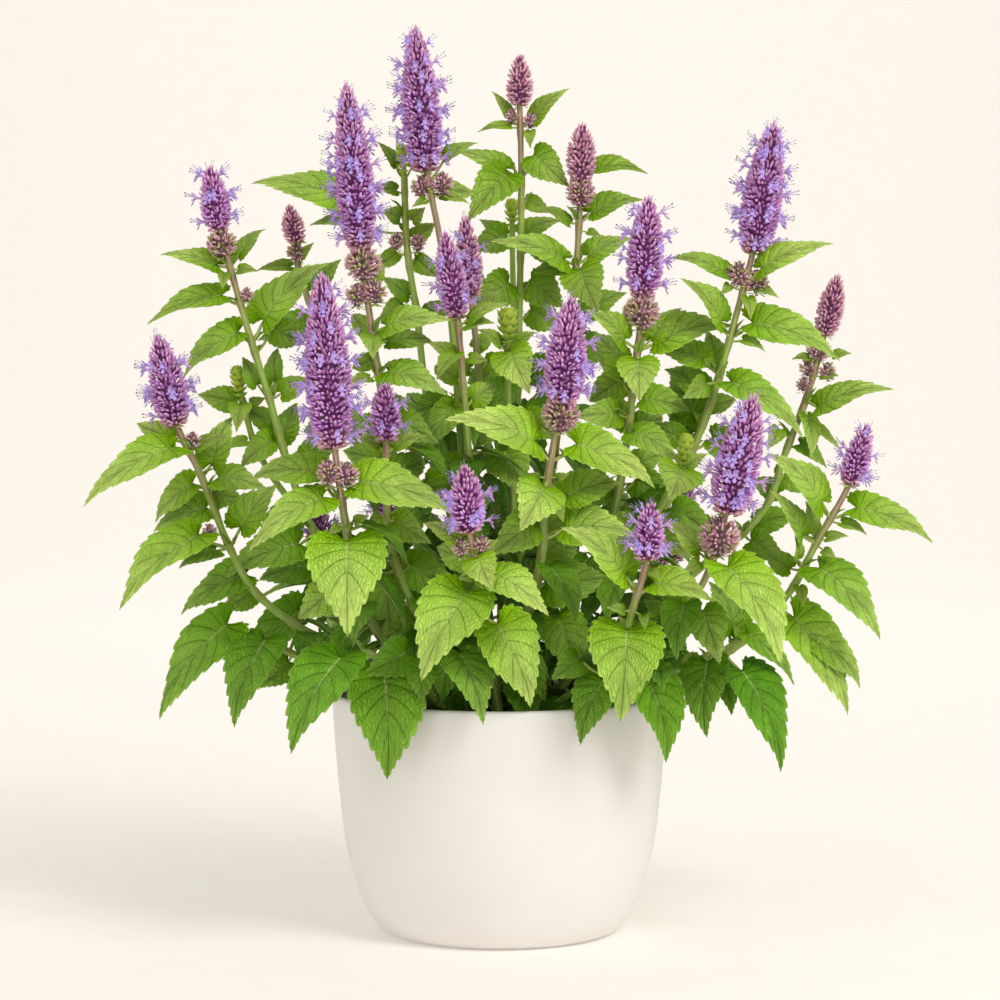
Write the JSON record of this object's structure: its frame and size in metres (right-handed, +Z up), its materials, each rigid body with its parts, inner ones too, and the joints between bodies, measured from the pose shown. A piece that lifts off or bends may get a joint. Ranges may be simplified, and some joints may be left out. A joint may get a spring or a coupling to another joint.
{
  "type": "potted anise hyssop",
  "caption": "Herb with toothed leaves on square stems and mauve flower spikes, growing out of soil in a plain round tapered pot.",
  "frame": {"origin": "centre of the pot's flat foot, on the surface that it stands on", "axes": "+Z up along the pot's axis, -Y towards the front, +X to the right seen from the front"},
  "size_m": [0.5553, 0.375, 0.6003],
  "materials": {
    "pot": "satin off-white glaze",
    "soil": "dark crumbly potting soil",
    "foliage": "fresh green toothed leaves and square stems, softly quilted between the veins",
    "flower": "mauve calyces with lavender-blue florets"
  },
  "bodies": {
    "root": {"pot": "pot", "soil": "soil", "stem_01": "foliage", "spike_01": "flower", "stem_02": "foliage", "stem_03": "foliage", "spike_03": "flower", "stem_04": "foliage", "spike_04": "flower", "stem_05": "foliage", "stem_06": "foliage", "spike_06": "flower", "stem_07": "foliage", "spike_07": "flower", "stem_08": "foliage", "stem_09": "foliage", "spike_09": "flower", "stem_10": "foliage", "spike_10": "flower", "stem_11": "foliage", "spike_11": "flower", "stem_12": "foliage", "stem_13": "foliage", "spike_13": "flower", "stem_14": "foliage", "stem_15": "foliage", "spike_15": "flower", "stem_16": "foliage", "stem_17": "foliage", "spike_17": "flower", "stem_18": "foliage", "spike_18": "flower", "stem_19": "foliage", "spike_19": "flower", "stem_20": "foliage", "spike_20": "flower", "stem_21": "foliage", "spike_21": "flower", "stem_22": "foliage", "spike_22": "flower", "stem_23": "foliage", "spike_23": "flower", "stem_24": "foliage", "spike_24": "flower", "stem_25": "foliage", "spike_25": "flower", "stem_26": "foliage", "stem_27": "foliage", "stem_28": "foliage", "stem_29": "foliage", "stem_30": "foliage", "spike_30": "flower", "stem_31": "foliage", "spike_31": "flower", "stem_32": "foliage", "spike_32": "flower", "stem_33": "foliage", "spike_33": "flower", "stem_34": "foliage", "spike_34": "flower"}
  },
  "joints": []
}
